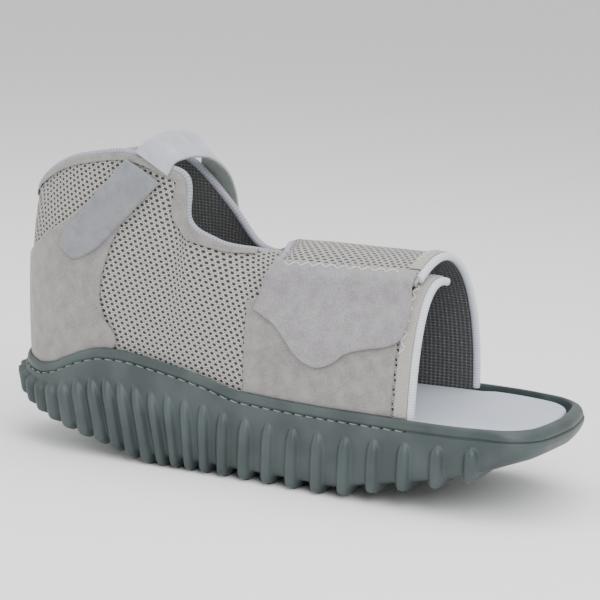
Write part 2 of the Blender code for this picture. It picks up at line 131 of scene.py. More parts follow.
# Columns of the upper from the near front edge round the heel to the far front edge
COLUMNS = (
    # side, foot along, foot rise, foot out, (handle along, across, up), (edge along, across, up)
    (-1, 0.786, 0.35, 0.3, (0.782, -0.70, 0.652), (0.779, 0.00, 0.573)),
    (-1, 0.651, 0.33, 0.6, (0.644, -0.72, 0.617), (0.644, -0.06, 0.604)),
    (-1, 0.537, 0.31, 0.6, (0.523, -0.70, 0.600), (0.516, -0.20, 0.624)),
    (-1, 0.466, 0.29, 0.6, (0.452, -0.68, 0.555), (0.463, -0.36, 0.633)),
    (-1, 0.402, 0.27, 0.6, (0.391, -0.68, 0.510), (0.399, -0.54, 0.661)),
    (-1, 0.356, 0.27, 0.6, (0.349, -0.66, 0.528), (0.350, -0.60, 0.741)),
    (-1, 0.320, 0.27, 0.6, (0.324, -0.64, 0.608), (0.340, -0.57, 0.909)),
    (-1, 0.281, 0.27, 0.6, (0.281, -0.64, 0.643), (0.295, -0.565, 0.957)),
    (-1, 0.217, 0.27, 0.6, (0.217, -0.64, 0.679), (0.228, -0.54, 0.997)),
    (-1, 0.142, 0.27, 1.1, (0.139, -0.64, 0.661), (0.153, -0.53, 0.973)),
    (-1, 0.075, 0.26, 1.6, (0.065, -0.56, 0.617), (0.096, -0.49, 0.927)),
    (-1, 0.032, 0.25, 2.2, (0.018, -0.38, 0.573), (0.043, -0.36, 0.838)),
    (0, 0.000, 0.24, 2.6, (-0.006, 0.00, 0.555), (0.009, 0.00, 0.758)),
    (1, 0.032, 0.25, 2.2, (0.018, 0.38, 0.573), (0.043, 0.36, 0.832)),
    (1, 0.075, 0.26, 1.6, (0.065, 0.56, 0.617), (0.096, 0.49, 0.915)),
    (1, 0.142, 0.27, 1.1, (0.139, 0.64, 0.661), (0.153, 0.53, 0.955)),
    (1, 0.217, 0.27, 0.6, (0.217, 0.64, 0.665), (0.217, 0.54, 0.962)),
    (1, 0.274, 0.27, 0.6, (0.274, 0.64, 0.620), (0.270, 0.55, 0.900)),
    (1, 0.324, 0.27, 0.6, (0.317, 0.66, 0.560), (0.334, 0.55, 0.750)),
    (1, 0.374, 0.28, 0.6, (0.366, 0.68, 0.500), (0.391, 0.50, 0.608)),
    (1, 0.424, 0.30, 0.6, (0.416, 0.67, 0.510), (0.441, 0.32, 0.586)),
    (1, 0.459, 0.34, 0.6, (0.464, 0.64, 0.590), (0.477, 0.06, 0.612)),
    (1, 0.487, 0.40, 0.6, (0.496, 0.54, 0.700), (0.502, -0.12, 0.661)),
    (1, 0.512, 0.45, 0.8, (0.512, 0.47, 0.770), (0.516, -0.40, 0.639)),
    (1, 0.545, 0.48, 0.5, (0.535, 0.44, 0.820), (0.521, -0.57, 0.600)),
    (1, 0.651, 0.50, 0.0, (0.644, 0.44, 0.830), (0.644, -0.56, 0.592)),
    (1, 0.786, 0.50, 0.0, (0.762, 0.44, 0.830), (0.762, -0.54, 0.592)),
)
# Cloth laid on the upper: two edges, each a place round the foot and a share of the way up
COUNTER = (
    # low edge place, up, high edge place, up
    (-0.298, 0.925, -0.243, 0.945), (-0.251, 0.703, -0.215, 0.860), (-0.233, 0.556, -0.185, 0.775),
    (-0.227, 0.420, -0.160, 0.730), (-0.237, 0.317, -0.138, 0.705), (-0.258, 0.205, -0.118, 0.680),
    (-0.205, 0.000, -0.095, 0.655), (-0.150, 0.000, -0.070, 0.630), (-0.100, 0.000, -0.045, 0.605),
    (-0.050, 0.000, -0.022, 0.590), (0.000, 0.000, 0.000, 0.580), (0.050, 0.000, 0.022, 0.590),
    (0.100, 0.000, 0.045, 0.605), (0.150, 0.000, 0.070, 0.630), (0.205, 0.000, 0.095, 0.655),
    (0.258, 0.205, 0.118, 0.680), (0.237, 0.317, 0.138, 0.705), (0.227, 0.420, 0.160, 0.730),
    (0.233, 0.556, 0.185, 0.775), (0.251, 0.703, 0.215, 0.860), (0.285, 0.925, 0.243, 0.945),
)
COLLAR_EDGE = (
    (-0.455, 0.930, -0.455, 0.995), (-0.423, 0.934, -0.428, 0.995), (-0.396, 0.927, -0.405, 0.995),
    (-0.372, 0.903, -0.385, 0.995), (-0.341, 0.800, -0.367, 0.995), (-0.328, 0.790, -0.359, 0.995),
    (-0.321, 0.820, -0.353, 0.995), (-0.320, 0.900, -0.344, 0.995), (-0.318, 0.955, -0.332, 0.995),
    (-0.290, 0.962, -0.295, 0.995), (-0.190, 0.962, -0.190, 0.995), (-0.135, 0.960, -0.135, 0.995),
    (-0.085, 0.955, -0.085, 0.995),
    (-0.040, 0.952, -0.040, 0.995), (0.000, 0.950, 0.000, 0.995), (0.040, 0.952, 0.040, 0.995),
    (0.085, 0.955, 0.085, 0.995), (0.135, 0.960, 0.135, 0.995), (0.190, 0.962, 0.190, 0.995),
    (0.290, 0.955, 0.290, 0.995), (0.370, 0.950, 0.375, 0.995), (0.420, 0.950, 0.425, 0.995),
    (0.445, 0.955, 0.448, 0.995),
)
NEAR_FACING = (
    (-0.700, 0.000, -0.7195, 0.000), (-0.700, 0.500, -0.7195, 0.500), (-0.700, 0.985, -0.7195, 0.985),
)
LOOP_PANEL = (
    (-0.464, 0.000, -0.464, 0.560), (-0.530, 0.000, -0.530, 0.580), (-0.696, 0.000, -0.696, 0.560),
)
FLAP_FACING = (
    (0.7195, 0.000, 0.698, 0.000), (0.7195, 0.500, 0.698, 0.500), (0.7195, 0.945, 0.698, 0.945),
)
FRONT_TAB = (
    (-0.477, 0.500, -0.504, 0.765), (-0.493, 0.460, -0.515, 0.765), (-0.512, 0.410, -0.528, 0.765),
    (-0.529, 0.340, -0.543, 0.765), (-0.545, 0.275, -0.558, 0.765), (-0.563, 0.235, -0.573, 0.765),
    (-0.583, 0.225, -0.590, 0.765), (-0.605, 0.255, -0.606, 0.765), (-0.622, 0.300, -0.622, 0.765),
    (-0.650, 0.330, -0.648, 0.765), (-0.675, 0.345, -0.672, 0.765), (-0.692, 0.365, -0.686, 0.765),
    (-0.703, 0.400, -0.696, 0.765), (-0.709, 0.480, -0.704, 0.765),
)
TAB_CLIMB = (0.56, 0.69)
STRAP_TAB = (
    (-0.170, 0.572, -0.152, 0.612), (-0.184, 0.556, -0.155, 0.650), (-0.205, 0.575, -0.166, 0.690),
    (-0.228, 0.625, -0.185, 0.745), (-0.268, 0.765, -0.218, 0.860), (-0.303, 0.925, -0.246, 0.970),
)
# The ankle strap's two edges from the strap tab over the instep to the far quarter
STRAP = (
    # front edge (along, across, up), rear edge (along, across, up)
    (0.309, -0.632, 0.925, 0.243, -0.600, 1.010),
    (0.316, -0.560, 0.978, 0.256, -0.500, 1.062),
    (0.317, -0.300, 0.990, 0.264, -0.280, 1.085),
    (0.316, -0.020, 0.985, 0.272, 0.000, 1.086),
    (0.318, 0.260, 0.962, 0.280, 0.280, 1.062),
    (0.326, 0.500, 0.905, 0.274, 0.520, 1.000),
    (0.332, 0.640, 0.820, 0.262, 0.660, 0.905),
    (0.336, 0.705, 0.700, 0.255, 0.720, 0.760),
    (0.336, 0.735, 0.560, 0.254, 0.752, 0.610),
)
# Rows of the sole's wall from the tread up, as shares of the wall under the band
WALL_ROWS = (
    # side height, side inset, toe height, toe inset, rib out, rib down
    (0.00, 1.9, 0.00, 6.0, 0.4, 1.0),
    (0.06, 0.5, 0.14, 1.4, 1.0, 0.8),
    (0.30, 0.0, 0.36, -0.4, 1.0, 0.0),
    (0.66, 0.0, 0.62, -0.8, 1.0, 0.0),
    (0.84, 0.0, 0.84, -1.0, 1.0, 0.0),
    (0.99, 0.0, 0.99, -1.0, 1.0, 0.0),
)
# The band over the stitch line, its rounded lip and the tray's inner wall
BAND_ROWS = (
    # inset in mm, share of the band's height
    (0.10, 0.00), (0.75, 0.03), (1.35, 0.07), (1.30, 0.13), (1.00, 0.22), (0.86, 0.36), (0.86, 0.52),
    (1.00, 0.68), (1.25, 0.82), (1.65, 0.93), (2.15, 1.00), (2.60, 1.00), (2.95, 0.95), (3.20, 0.86),
    (3.36, 0.70), (3.55, 0.40),
)


def steps(rows, at, rounded=True):
    """Values at the given places on a smooth line through rows of (place, value, ...).

    Without rounded the line never swings past its rows."""
    rows = np.array(rows, float)
    place, value = rows[:, 0], rows[:, 1:]
    rise = np.diff(value, axis=0) / np.diff(place)[:, None]
    if rounded:
        slope = np.gradient(value, place, axis=0)
    else:
        slope = np.zeros_like(value)
        same = rise[:-1] * rise[1:] > 0
        mean = 2 * rise[:-1] * rise[1:] / np.where(same, rise[:-1] + rise[1:], 1)
        slope[1:-1] = np.where(same, mean, 0)
        slope[0], slope[-1] = rise[0], rise[-1]
    at = np.clip(np.asarray(at, float), place[0], place[-1])
    k = np.clip(np.searchsorted(place, at, side="right") - 1, 0, len(place) - 2)
    width = (place[k + 1] - place[k])[..., None]
    t = (at - place[k])[..., None] / width
    start = (1 + 2 * t) * (1 - t) ** 2 * value[k] + t * (1 - t) ** 2 * width * slope[k]
    end = t**2 * (3 - 2 * t) * value[k + 1] + t**2 * (t - 1) * width * slope[k + 1]
    return start + end


def ease(value, low, high):
    t = np.clip((np.asarray(value, float) - low) / (high - low), 0, 1)
    return t * t * (3 - 2 * t)


def unit(vectors):
    return vectors / np.linalg.norm(vectors, axis=-1, keepdims=True)


def along(share):
    return HEEL_X + share * OUTLINE_LENGTH


def share_of(x):
    return (x - HEEL_X) / OUTLINE_LENGTH


OUTLINE_KNOTS = np.array([(along(a), w * BALL_HALF) for a, w in OUTLINE])
OUTLINE_RUN = np.concatenate([[0], np.cumsum(np.hypot(*np.diff(OUTLINE_KNOTS, axis=0).T))])
HALF_RUN = OUTLINE_RUN[-1]


def half_outline(run, inset=0.0):
    """A point of the outline's half with y over 0, run metres from the heel's end, and moved in by inset."""
    rows = np.column_stack([OUTLINE_RUN, OUTLINE_KNOTS])
    mirrored = rows[1:3] * (-1, 1, -1)
    ahead = rows[-3:-1] * (-1, 1, -1) + (2 * HALF_RUN, 0, 0)
    rows = np.vstack([mirrored[::-1], rows, ahead[::-1]])
    run = np.asarray(run, float)
    point = steps(rows, run)
    tangent = unit(steps(rows, run + NEARBY) - steps(rows, run - NEARBY))
    outward = np.stack([-tangent[..., 1], tangent[..., 0]], axis=-1)
    return point - outward * np.asarray(inset, float)[..., None]


def rim_height(x):
    return RIM_TOP + QUARTER_RISE * steps(RIM_HEIGHTS, share_of(x), rounded=False)[..., 0]


def tread_height(x):
    return TOE_SPRING * steps(TREAD_HEIGHTS, share_of(x), rounded=False)[..., 0]


def foot_run(share):
    """How far round from the heel's end the upper's foot passes this share of the length."""
    run = np.linspace(0, HALF_RUN, 400)
    return np.interp(along(share), half_outline(run, UPPER_INSET)[:, 0], run)


def column_handles():
    """Rows of (place round the foot, then the four handles of a column)."""
    rows = []
    for side, foot, rise, out, handle, edge in COLUMNS:
        run = foot_run(foot) if side else 0.0
        base = half_outline(run, UPPER_INSET)
        pushed = half_outline(run, UPPER_INSET - out * MM)
        turn = side if side else 1
        spots = [(*base, UPPER_BASE), (*pushed, UPPER_BASE + rise * UPPER_RISE)]
        spots = [(x, turn * y, z) for x, y, z in spots]
        spots += [(along(a), b * BALL_HALF, UPPER_BASE + up * UPPER_RISE) for a, b, up in (handle, edge)]
        rows.append((side * run / HALF_RUN, *np.ravel(spots)))
    return rows


HANDLES = column_handles()
NEAR_FRONT, FAR_FRONT = HANDLES[0][0], HANDLES[-1][0]


def upper_skin(place, up):
    """Points of the upper's outer face: place runs round it, and up from its foot (0) to its top edge (1)."""
    place, up = np.broadcast_arrays(np.asarray(place, float), np.asarray(up, float))
    handles = steps(HANDLES, place).reshape(*place.shape, 4, 3)
    t = up[..., None]
    weights = ((1 - t) ** 3, 3 * t * (1 - t) ** 2, 3 * t**2 * (1 - t), t**3)
    return sum(weight * handles[..., k, :] for k, weight in enumerate(weights))


def skin_ways(place, up):
    """Directions on the upper's outer face: onwards round the foot, upwards, and outwards."""
    place, up = np.broadcast_arrays(np.asarray(place, float), np.asarray(up, float))
    back, ahead = (np.clip(place + by, NEAR_FRONT, FAR_FRONT) for by in (-NEARBY_SHARE, NEARBY_SHARE))
    low, high = (np.clip(up + by, 0, 1) for by in (-NEARBY_SHARE, NEARBY_SHARE))
    onward = unit(upper_skin(ahead, up) - upper_skin(back, up))
    upward = unit(upper_skin(place, high) - upper_skin(place, low))
    return onward, upward, unit(np.cross(upward, onward))


def paint(red, green, blue):
    """A colour from its values out of 255, as a linear colour with full alpha."""
    shares = [value / 255 for value in (red, green, blue)]
    return (*(s / 12.92 if s <= 0.04045 else ((s + 0.055) / 1.055) ** 2.4 for s in shares), 1)


class Wire:
    """A value's socket in a finish, with arithmetic that adds Math nodes."""

    def __init__(self, finish, socket):
        self.finish = finish
        self.socket = socket

    def math(self, operation, *values, clamp=False):
        settings = {"operation": operation, "use_clamp": clamp}
        return self.finish.node("ShaderNodeMath", settings, dict(enumerate(values)))

    def __add__(self, other):
        return self.math("ADD", self, other)

    def __sub__(self, other):
        return self.math("SUBTRACT", self, other)

    def __rsub__(self, other):
        return self.math("SUBTRACT", other, self)

    def __mul__(self, other):
        return self.math("MULTIPLY", self, other)

    def __truediv__(self, other):
        return self.math("DIVIDE", self, other)

    def __pow__(self, other):
        return self.math("POWER", self, other)

    __radd__ = __add__
    __rmul__ = __mul__

    def floor(self):
        return self.math("FLOOR", self)

    def fract(self):
        return self.math("FRACT", self)

    def size(self):
        return self.math("ABSOLUTE", self)

    def root(self):
        return self.math("SQRT", self)

    def sine(self):
        return self.math("SINE", self)

    def larger(self, other):
        return self.math("MAXIMUM", self, other)

    def smooth(self, low, high):
        """0 under low, 1 over high, and a smooth rise between them."""
        settings = {"interpolation_type": "SMOOTHSTEP"}
        sockets = {"Value": self, "From Min": low, "From Max": high, "To Min": 0.0, "To Max": 1.0}
        if low > high:
            sockets.update({"From Min": high, "From Max": low, "To Min": 1.0, "To Max": 0.0})
        return self.finish.node("ShaderNodeMapRange", settings, sockets)


class Finish:
    """A material of the shoe: a Principled shader, and the nodes that feed it."""

    def __init__(self, name, roughness, sheen=0.0, specular=0.5):
        self.material = bpy.data.materials.new(name)
        self.material.use_nodes = True
        self.tree = self.material.node_tree
        self.shader = self.tree.nodes["Principled BSDF"]
        self.shader.inputs["Roughness"].default_value = roughness
        self.shader.inputs["Specular IOR Level"].default_value = specular
        if sheen:
            self.shader.inputs["Sheen Weight"].default_value = sheen
            self.shader.inputs["Sheen Roughness"].default_value = 0.6

    def node(self, kind, settings, sockets, output=0):
        made = self.tree.nodes.new(kind)
        for key, value in settings.items():
            setattr(made, key, value)
        for key, value in sockets.items():
            if isinstance(value, Wire):
                self.tree.links.new(value.socket, made.inputs[key])
            else:
                made.inputs[key].default_value = value
        return Wire(self, made.outputs[output])

    def cloth_place(self):
        """How far along and up the cloth a point lies, in mm."""
        spot = self.node("ShaderNodeUVMap", {"uv_map": "cloth"}, {})
        return (Wire(self, self.split(spot).outputs[k]) for k in (0, 1))

    def split(self, spot):
        made = self.tree.nodes.new("ShaderNodeSeparateXYZ")
        self.tree.links.new(spot.socket, made.inputs[0])
        return made

    def object_place(self):
        return self.node("ShaderNodeTexCoord", {}, {}, output="Object")

    def noise(self, size_mm, detail=2.0, stretch=(1, 1, 1)):
        """Cloudy values round 0.5 whose spots are about this size."""
        where = self.object_place()
        if stretch != (1, 1, 1):
            where = self.node(
                "ShaderNodeVectorMath", {"operation": "MULTIPLY"}, {0: where, 1: stretch}
            )
        scale = 1 / (size_mm * MM)
        return self.node("ShaderNodeTexNoise", {}, {"Vector": where, "Scale": scale, "Detail": detail})

    def mix(self, first, second, factor):
        return self.node("ShaderNodeMix", {"data_type": "RGBA"}, {0: factor, 6: first, 7: second}, output=2)

    def colour(self, value):
        if isinstance(value, Wire):
            self.tree.links.new(value.socket, self.shader.inputs["Base Color"])
        else:
            self.shader.inputs["Base Color"].default_value = value

    def rough(self, value):
        self.tree.links.new(value.socket, self.shader.inputs["Roughness"])

    def relief(self, height, depth_mm, strength=1.0):
        normal = self.node(
            "ShaderNodeBump", {}, {"Height": height, "Distance": depth_mm * MM, "Strength": strength}
        )
        self.tree.links.new(normal.socket, self.shader.inputs["Normal"])


def rubber_finish():
    """Moulded dark green-grey rubber: satin, with a fine grain and duller patches."""
    rubber = Finish("moulded_rubber", roughness=0.5, specular=0.45)
    grain = rubber.noise(0.35, detail=3.0)
    cloud = rubber.noise(22, detail=2.0)
    rubber.colour(rubber.mix(paint(48, 58, 58), paint(61, 71, 71), cloud.smooth(0.35, 0.65)))
    rubber.rough(cloud * 0.16 + grain * 0.1 + 0.34)
    rubber.relief(grain, 0.05, 0.5)
    return rubber.material


def knit_finish(name, pitch_mm, row_mm, yarn, shade, hole):
    """Open knit: staggered rows of oval holes with a light ring of yarn round each."""
    knit = Finish(name, roughness=0.85, sheen=0.15, specular=0.25)
    u, v = knit.cloth_place()
    stray = knit.noise(5.0, detail=1.0)
    u = u + (stray - 0.5) * 0.9
    v = v + (knit.noise(4.1, detail=1.0) - 0.5) * 0.7
    row = v / row_mm
    across = (u / pitch_mm + row.floor() * 0.5).fract() - 0.5
    down = row.fract() - 0.5
    reach = ((across / 0.40) ** 2.0 + (down / 0.42) ** 2.0).root()
    open_hole = reach.smooth(0.86, 0.60)
    ring = 1.0 - ((reach - 1.0) / 0.32).size().smooth(0.0, 1.0)
    strand = ((u * 9.0 + v * 5.0).sine() * 0.5 + 0.5) * 0.6 + knit.noise(0.5, detail=2.0) * 0.5
    lit = knit.mix(shade, yarn, (ring * 0.75 + strand * 0.35).smooth(0.1, 1.0))
    knit.colour(knit.mix(lit, hole, open_hole))
    knit.relief(ring * 0.5 + strand * 0.12 - open_hole * 0.9, 0.7, 0.9)
    return knit.material


def lining_finish():
    """Dark woven lining with a square grid and tiny light dots."""
    lining = Finish("woven_lining", roughness=0.9, sheen=0.1, specular=0.2)
    u, v = lining.cloth_place()
    warp = (u * (math.tau / 2.0)).sine() * 0.5 + 0.5
    weft = (v * (math.tau / 1.6)).sine() * 0.5 + 0.5
    grid = warp.larger(weft)
    dot = (warp * weft).smooth(0.80, 0.98) * lining.noise(2.5, detail=1.0).smooth(0.42, 0.6)
    base = lining.mix(paint(44, 46, 48), paint(84, 84, 84), grid)
    lining.colour(lining.mix(base, paint(150, 150, 150), dot))
    lining.relief(grid + dot * 0.5, 0.35, 0.8)
    return lining.material


def brushed_finish(name, pale, dark, nap_mm=0.45, depth=0.25, sheen=0.35):
    """Brushed loop cloth: mottled, with a soft directionless nap."""
    cloth = Finish(name, roughness=0.95, sheen=sheen, specular=0.2)
    nap = cloth.noise(nap_mm, detail=4.0)
    patch = cloth.noise(6.0, detail=3.0)
    cloth.colour(cloth.mix(dark, pale, (nap * 0.75 + patch * 0.45).smooth(0.38, 0.82)))
    cloth.relief(nap * 0.7 + patch * 0.3, depth, 0.8)
    return cloth.material


def tape_finish(name, pale, dark, rib_mm=0.9):
    """Woven edging: fine ribs across its length."""
    tape = Finish(name, roughness=0.85, sheen=0.2, specular=0.25)
    u, v = tape.cloth_place()
    rib = (u * (math.tau / rib_mm)).sine() * 0.5 + 0.5
    fuzz = tape.noise(0.5, detail=3.0)
    tape.colour(tape.mix(dark, pale, (rib * 0.35 + fuzz * 0.65).smooth(0.2, 0.75)))
    tape.relief(rib * 0.5 + fuzz * 0.5, 0.16, 0.7)
    return tape.material


def footbed_finish():
    """Pale blue-grey cover of the footbed: close matt weave."""
    cover = Finish("footbed_cover", roughness=0.8, sheen=0.1, specular=0.3)
    weave = cover.noise(0.5, detail=2.0)
    cloud = cover.noise(30, detail=1.0)
    cover.colour(cover.mix(paint(168, 174, 188), paint(186, 190, 202), cloud * 0.7 + weave * 0.3))
    cover.relief(weave, 0.06, 0.5)
    return cover.material


def plain_finish(name, colour, roughness):
    plain = Finish(name, roughness=roughness, specular=0.3)
    fuzz = plain.noise(0.4, detail=2.0)
    darker = (*(c * 0.8 for c in colour[:3]), 1)
    plain.colour(plain.mix(darker, colour, fuzz.smooth(0.3, 0.7)))
    return plain.material


def grid_faces(columns, rows, loop_rows=False):
    """Quads of a grid numbered column by column; loop_rows joins its last row to its first."""
    rises = rows if loop_rows else rows - 1
    i, j = np.meshgrid(np.arange(columns - 1), np.arange(rises), indexing="ij")
    low, high = (i * rows + j).ravel(), (i * rows + (j + 1) % rows).ravel()
    return np.column_stack([low, high, high + rows, low + rows])


def new_piece(name, points, faces, finishes, chosen=None, spots=None):
    """A smooth object from points and faces: spots are cloth places in mm, chosen is each face's finish."""
    mesh = bpy.data.meshes.new(name)
    mesh.from_pydata(points.reshape(-1, 3).tolist(), [], faces.tolist())
    for finish in finishes:
        mesh.materials.append(finish)
    if chosen is not None:
        mesh.polygons.foreach_set("material_index", np.asarray(chosen, np.int32))
    if spots is not None:
        corners = np.empty(len(mesh.loops), np.int32)
        mesh.loops.foreach_get("vertex_index", corners)
        layer = mesh.uv_layers.new(name="cloth")
        layer.data.foreach_set("uv", spots.reshape(-1, 2)[corners].astype(np.float32).ravel())
    mesh.validate()
    mesh.shade_smooth()
    piece = bpy.data.objects.new(name, mesh)
    bpy.context.scene.collection.objects.link(piece)
    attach(piece, "root")
    return piece


def thicken(piece, wall, inside=0):
    """Gives a sheet its wall, inwards from its outer face. inside steps on to the lining's finish."""
    shell = piece.modifiers.new("wall", "SOLIDIFY")
    shell.thickness = wall
    shell.offset = -1
    shell.use_even_offset = False
    shell.material_offset = inside
    return piece


def arc_lengths(points, axis):
    """Distance in mm from the first point along an axis of a grid."""
    hops = np.linalg.norm(np.diff(points, axis=axis), axis=-1) / MM
    lengths = np.cumsum(hops, axis=axis)
    first = np.zeros_like(np.take(lengths, [0], axis=axis))
    return np.concatenate([first, lengths], axis=axis)


def rib_centres():
    """How far round from the heel each rib stands."""
    centres = []
    centre, pitch = HEEL_PITCH / 2, HEEL_PITCH
    while centre < LAST_RIB * HALF_RUN:
        centres.append(centre)
        if len(centres) >= FIRST_RIBS:
            pitch = min(pitch + PITCH_STEP, TOE_PITCH)
        centre += pitch
    return np.array(centres)


def rib_offset(run):
    """How far across a rib a column lies: 0 on its crest, 1 and more between ribs."""
    return np.abs(run[:, None] - rib_centres()[None, :]).min(axis=1) / (RIB_WIDTH / 2)


def sole_rows():
    """Rows of points from the tread's edge up the wall, over the band and the lip, and down into the tray."""
    run = np.linspace(0, HALF_RUN, 450)
    x = half_outline(run)[:, 0]
    toe = ease(share_of(x), *TOE_CAP)
    band = rim_height(x) - BAND_HEIGHT
    tread = tread_height(x) + RIB_DEPTH
    lean = math.tan(RIB_LEAN) * ease(run, 0, HEEL_BEND) * (1 - ease(share_of(x), *LEANING_RIBS))
    lean = lean * ease(HALF_RUN - run, 0, TOE_BEND)
    offset = rib_offset(run)
    heel = 1 - ease(share_of(x), *SOFT_RIBS)
    spots = np.linspace(0, 1, 40)
    wall = steps(np.column_stack([np.linspace(0, 1, len(WALL_ROWS)), WALL_ROWS]), spots, rounded=False)
    rows = []
    for side_height, side_inset, toe_height, toe_inset, out, down in wall:
        height = side_height * (1 - toe) + toe_height * toe
        fade = np.clip((height - 0.50) / (0.33 - 0.05 * heel), 0, 1)
        left = np.clip(1 - offset**2 - fade**2, 0, 1)
        rib = left ** (0.62 + 0.25 * heel)
        under = np.clip(1 - offset**2, 0, 1) ** 0.62
        corner = np.where(toe_inset > 0, CORNER, NOSE)
        inset = side_inset * CORNER * (1 - toe) + toe_inset * corner * toe - out * RIB_PROUD * rib
        shift = lean * (1 - height) * (band - tread)
        flat = half_outline(np.clip(run + shift, 0, HALF_RUN), inset)
        ground = tread_height(flat[:, 0]) + RIB_DEPTH
        rows.append(np.column_stack([flat, ground - RIB_DEPTH * down * under + height * (band - ground)]))
    for inset, share in BAND_ROWS:
        plain = inset * MM * (1 - toe) + np.maximum(inset * MM - 0.9 * MM, 0) * toe
        nose = NOSE * (1 - 0.5 * share) * (1 - ease(inset, 0.9, 2.6)) * toe
        rows.append(np.column_stack([half_outline(run, plain - nose), band + share * BAND_HEIGHT]))
    rows.append(np.column_stack([half_outline(run, RIM_WIDTH + 0 * x), TRAY_FLOOR + 0 * x]))
    return rows


def build_sole(rubber):
    """One half of the sole with its ribs, and its mirror."""
    rows = sole_rows()
    for row in rows:
        row[0, 1] = 0
        row[-1, 1] = 0
    under = [rows[0] * (1, share, 1) for share in (0, 0.35, 0.7, 0.9)]
    tray = [rows[-1] * (1, share, 1) for share in (0.5, 0)]
    points = np.stack([*under, *rows, *tray], axis=1)
    sole = new_piece("sole", points, grid_faces(*points.shape[:2]), [rubber])
    halves = sole.modifiers.new("halves", "MIRROR")
    halves.use_axis = (False, True, False)
    halves.merge_threshold = WELD
    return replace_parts(sole, "outsole")


def build_footbed(cover):
    """The footbed in its tray, with a softly rounded edge."""
    run = np.linspace(0, HALF_RUN, 160)
    front_edge = COLUMNS[0][1]
    bare = ease(share_of(half_outline(run)[:, 0]), *(front_edge + by for by in WIDENING))
    behind = UPPER_INSET + UPPER_WALL + 3 * GAP
    edge = behind + (RIM_WIDTH + 2 * GAP - behind) * bare
    rows = []
    for turn in np.radians([0, 15, 30, 45, 60, 75, 90]):
        lower = FOOTBED_ROUNDING * (1 - math.sin(turn))
        flat = half_outline(run, edge + FOOTBED_ROUNDING * (1 - math.cos(turn)))
        rows.append(np.column_stack([flat, UPPER_BASE + INSOLE_THICKNESS - lower + 0 * run]))
    rows.insert(0, rows[0] * (1, 1, 0) + (0, 0, UPPER_BASE))
    for row in rows:
        row[0, 1] = 0
        row[-1, 1] = 0
    middle = [rows[-1] * (1, share, 1) for share in (0.8, 0.5, 0.2, 0)]
    points = np.stack([rows[0] * (1, 0, 1), *rows, *middle], axis=1)
    bed = new_piece("footbed", points, grid_faces(*points.shape[:2]), [cover])
    halves = bed.modifiers.new("halves", "MIRROR")
    halves.use_axis = (False, True, False)
    halves.merge_threshold = WELD
    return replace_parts(bed, "insole")


def build_shell(knit, lining):
    """The knitted upper with its woven lining."""
    place = np.linspace(NEAR_FRONT, FAR_FRONT, 520)
    up = np.linspace(0, 1, 64)
    points = upper_skin(place[:, None], up[None, :])
    middle = arc_lengths(upper_skin(place, 0.6)[None], 1)[0]
    height = arc_lengths(points, 1)
    u = np.broadcast_to(middle[:, None], height.shape)
    tilt = MESH_TILT * (1 - ease(place, -0.1, 0.1))[:, None]
    spots = np.stack([u * np.cos(tilt) + height * np.sin(tilt), height * np.cos(tilt) - u * np.sin(tilt)], -1)
    shell = new_piece(
        "knitted_upper", points, grid_faces(*points.shape[:2]), [knit, lining], spots=spots
    )
    thicken(shell, UPPER_WALL, inside=1)
    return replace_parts(shell, "upper")


def crowded(count):
    """Shares from 0 to 1 that lie closer together at both ends."""
    return 0.5 - 0.5 * np.cos(np.pi * np.linspace(0, 1, count))


def rim_clear(place):
    """How far up the skin the sole's rim reaches, with a small clearance."""
    up = np.linspace(0, 0.5, 400)
    skin = upper_skin(np.asarray(place, float)[..., None], up)
    above = skin[..., 2] - rim_height(skin[..., 0]) > -0.5 * MM
    return up[np.argmax(above, axis=-1)]


def laid_places(rows, along_count, across_count):
    """Places on the skin between the two smooth edges of rows."""
    rows = np.array(rows, float)
    at = np.arange(len(rows))
    low_place, low_up, high_place, high_up = steps(
        np.column_stack([at, rows]), crowded(along_count) * at[-1], rounded=len(rows) > 4
    ).T
    low_up = np.maximum(low_up, rim_clear(low_place))
    high_up = np.maximum(high_up, rim_clear(high_place))
    t = crowded(across_count)
    place = low_place[:, None] * (1 - t) + high_place[:, None] * t
    up = low_up[:, None] * (1 - t) + high_up[:, None] * t
    return place, up


def build_cloth(name, rows, lift, wall, finish, along_count=200, across_count=40, edge_mm=0.8):
    """A cloth piece lying on the upper, with rounded edges."""
    place, up = laid_places(rows, along_count, across_count)
    skin = upper_skin(place, up)
    outward = skin_ways(place, up)[2]
    run, width = arc_lengths(skin, 0), arc_lengths(skin, 1)
    near = np.minimum(np.minimum(run, run[-1:] - run), np.minimum(width, width[:, -1:] - width))
    crown = np.sqrt(1 - (1 - np.clip(near / edge_mm, 0, 1)) ** 2)
    base = lift(up) if callable(lift) else lift + 0 * up
    points = skin + outward * (base + wall * (0.25 + 0.75 * crown))[..., None]
    spots = np.stack([run, width], axis=-1)
    if rows[0][0] > rows[-1][0]:
        points, spots = points[::-1], spots[::-1]
    piece = new_piece(name, points, grid_faces(*points.shape[:2]), [finish], spots=spots)
    return thicken(piece, wall * 0.22)


def tab_lift(up):
    """The front tab lies on the loop panel, and climbs over the end of the flap."""
    return TAB_LIFT + FLAP_CLIMB * ease(up, *TAB_CLIMB)


